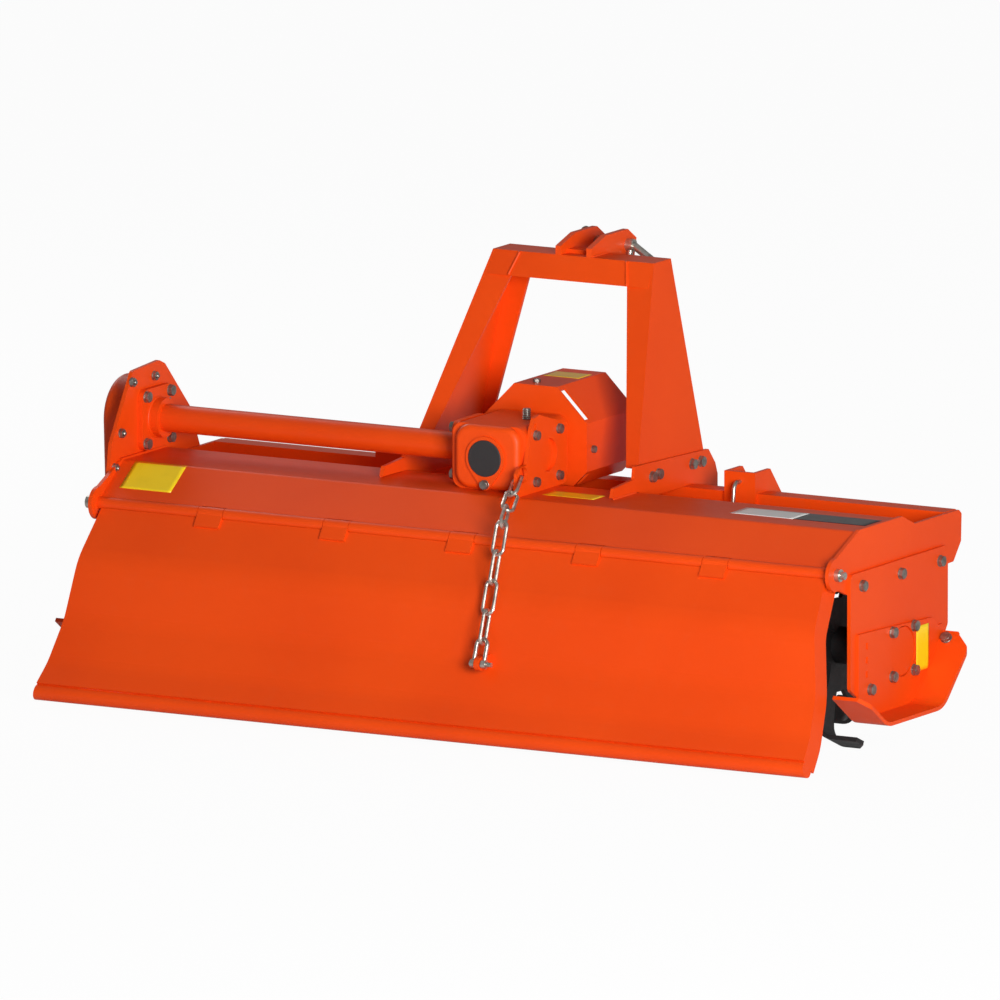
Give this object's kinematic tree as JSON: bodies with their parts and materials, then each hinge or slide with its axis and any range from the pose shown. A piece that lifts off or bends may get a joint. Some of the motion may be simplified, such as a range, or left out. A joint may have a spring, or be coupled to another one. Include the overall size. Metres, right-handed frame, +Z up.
{
  "type": "rotary tiller",
  "caption": "Tractor-mounted rotary tiller with L-blade rotor under a hood, hinged rear flap on a chain, mast hitch and side gear drive.",
  "frame": {"origin": "on the floor under the middle of the machine's outline; the rotor's axis runs 11.5 mm in front of it", "axes": "+Z up, +Y forward towards the tractor, +X along the rotor to the side of the bearing plate"},
  "size_m": [1.888, 0.887, 0.937],
  "materials": {
    "paint": "gloss orange-red powder coat",
    "steel": "zinc-plated steel",
    "black_cap": "matt black cap",
    "black_steel": "black paint on forged steel"
  },
  "bodies": {
    "frame": {"hood": "paint", "end_bracket_left": "paint", "end_bracket_right": "paint", "front_beam": "paint", "side_plate_left": "paint", "side_plate_right": "paint", "bearing_hub_right": "paint", "skid_left": "paint", "skid_right": "paint", "gear_case": "paint", "drive_tube": "paint", "tube_flange_left": "paint", "tube_flange_right": "paint", "gearbox_housing": "paint", "gearbox_cover": "paint", "gearbox_cap": "black_cap", "gearbox_side_plate": "paint", "input_shaft": "steel", "guard_back_plate": "paint", "guard_shell": "paint", "mast_leg_left": "paint", "mast_leg_right": "paint", "mast_crossbar": "paint", "top_clevis": "paint", "top_link_pin": "steel", "mast_foot_left": "paint", "mast_foot_right": "paint", "hitch_bracket_left": "paint", "hitch_bracket_right": "paint", "hitch_hook": "steel", "hinge_rod": "steel"},
    "rear_flap": {"flap": "paint", "flap_lug": "paint"},
    "upper_chain": {"chain_upper": "steel"},
    "lower_chain": {"chain_lower": "steel", "shackle": "steel"},
    "rotor": {"rotor_tube": "black_steel", "rotor_flange_1": "black_steel", "rotor_flange_2": "black_steel", "rotor_flange_3": "black_steel", "rotor_flange_4": "black_steel", "rotor_flange_5": "black_steel", "rotor_flange_6": "black_steel", "rotor_flange_7": "black_steel"}
  },
  "joints": [
    {"name": "rotor_spin", "type": "hinge", "parent": "frame", "child": "rotor", "pos_m": [-0.002, 0.0115, 0.20004], "axis": [1, 0, 0], "continuous": true},
    {"name": "flap_hinge", "type": "hinge", "parent": "frame", "child": "rear_flap", "pos_m": [-0.002, -0.2425, 0.394], "axis": [-1, 0, 0], "range_deg": [0, 35]},
    {"name": "upper_chain_swing", "type": "hinge", "parent": "frame", "child": "upper_chain", "pos_m": [0.0568, -0.1251, 0.5064], "axis": [-1, 0, 0], "range_deg": [0, 24]},
    {"name": "shackle_swing", "type": "hinge", "parent": "rear_flap", "child": "lower_chain", "pos_m": [0.116, -0.3925, 0.17], "axis": [-1, 0, 0], "range_deg": [-14, 0]}
  ],
  "couplings": [
    {"joint": "upper_chain_swing", "follows": "flap_hinge", "ratio": 0.6744},
    {"joint": "shackle_swing", "follows": "flap_hinge", "ratio": -0.385}
  ]
}
